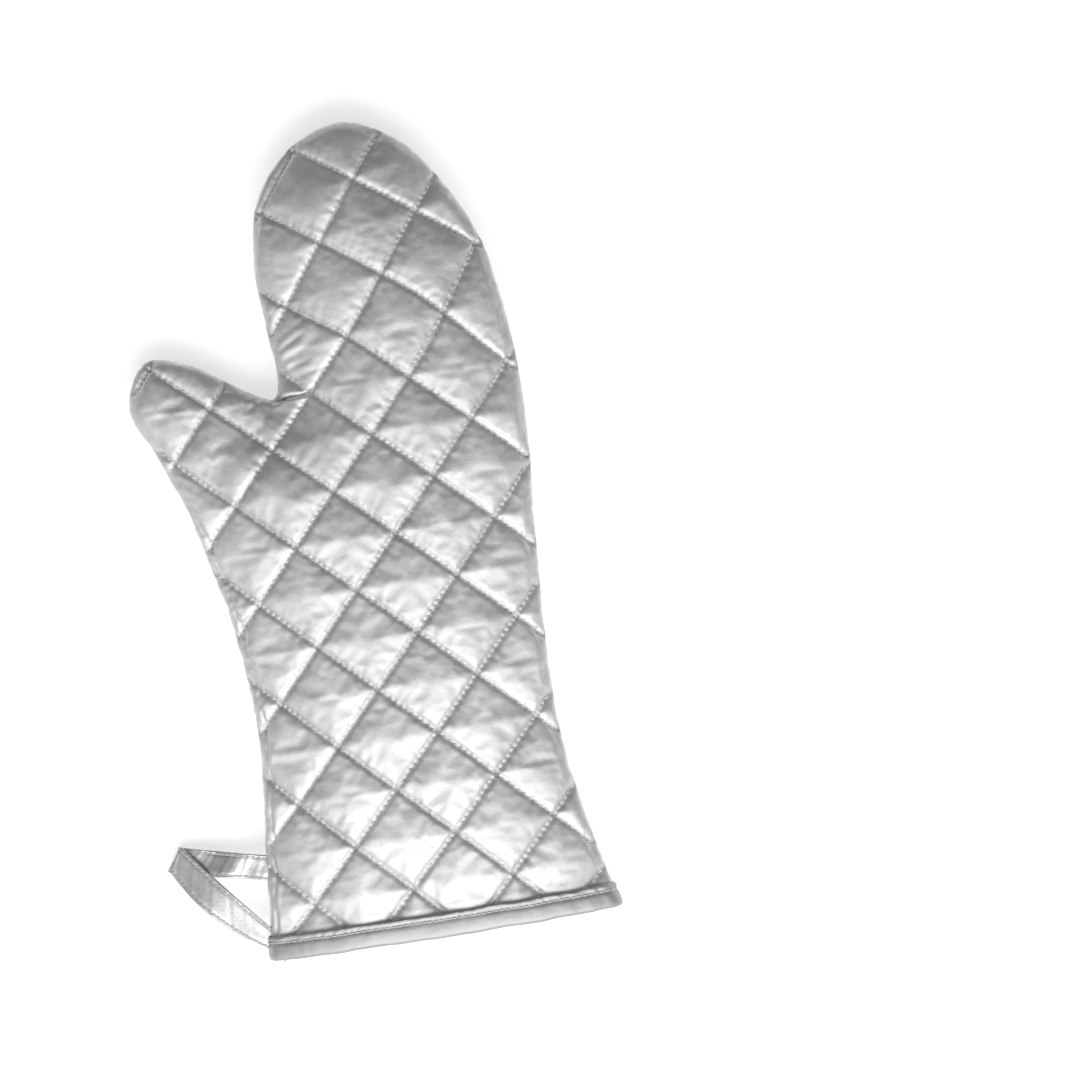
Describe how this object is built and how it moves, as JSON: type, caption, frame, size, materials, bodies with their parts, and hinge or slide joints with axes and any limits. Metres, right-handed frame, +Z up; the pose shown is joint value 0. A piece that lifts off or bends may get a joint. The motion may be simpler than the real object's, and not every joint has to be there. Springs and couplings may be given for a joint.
{
  "type": "oven mitt",
  "caption": "Long padded oven mitt with quilted silver-coated cloth, a thumb, a bound cuff and a hanging loop at the side seam.",
  "frame": {"origin": "on the surface the mitt lies on, under the middle of its outer box (hanging loop included)", "axes": "+Z up out of the palm, +Y from the cuff to the fingertips, thumb and hanging loop towards -X"},
  "size_m": [0.2285, 0.4158, 0.0342],
  "materials": {
    "silver_cloth": "satin metal-coated cloth, fine grain",
    "batting": "soft fibre wadding",
    "lining_cloth": "plain woven cotton",
    "thread": "twisted polyester sewing thread"
  },
  "bodies": {
    "hand": {"outer_palm_hand": "silver_cloth", "outer_back_hand": "silver_cloth", "batting_palm_hand": "batting", "batting_back_hand": "batting", "lining_palm_hand": "lining_cloth", "lining_back_hand": "lining_cloth", "quilting_palm_hand": "thread", "quilting_back_hand": "thread", "side_seam_hand": "thread", "cuff_binding": "silver_cloth", "binding_stitching": "thread", "loop_ends": "silver_cloth"},
    "fingers": {"outer_palm_fingers": "silver_cloth", "outer_back_fingers": "silver_cloth", "batting_palm_fingers": "batting", "batting_back_fingers": "batting", "lining_palm_fingers": "lining_cloth", "lining_back_fingers": "lining_cloth", "quilting_palm_fingers": "thread", "quilting_back_fingers": "thread", "side_seam_fingers": "thread"},
    "thumb": {"outer_palm_thumb": "silver_cloth", "outer_back_thumb": "silver_cloth", "batting_palm_thumb": "batting", "batting_back_thumb": "batting", "lining_palm_thumb": "lining_cloth", "lining_back_thumb": "lining_cloth", "quilting_palm_thumb": "thread", "quilting_back_thumb": "thread", "side_seam_thumb": "thread"},
    "loop": {"hanging_loop": "silver_cloth", "loop_stitching": "thread"}
  },
  "joints": [
    {"name": "finger_fold", "type": "hinge", "parent": "hand", "child": "fingers", "pos_m": [0.04031, 0.10709, 0.034], "axis": [1, 0, 0], "range_deg": [0, 60], "stiffness_Nm_per_rad": 0.08},
    {"name": "thumb_fold", "type": "hinge", "parent": "hand", "child": "thumb", "pos_m": [-0.04782, 0.0477, 0.0325], "axis": [0.687, 0.7266, 0], "range_deg": [0, 60], "stiffness_Nm_per_rad": 0.04},
    {"name": "loop_swing", "type": "hinge", "parent": "hand", "child": "loop", "pos_m": [-0.06688, -0.17791, 0.017], "axis": [0.0995, 0.995, 0], "range_deg": [-85, 85], "stiffness_Nm_per_rad": 0.02}
  ]
}
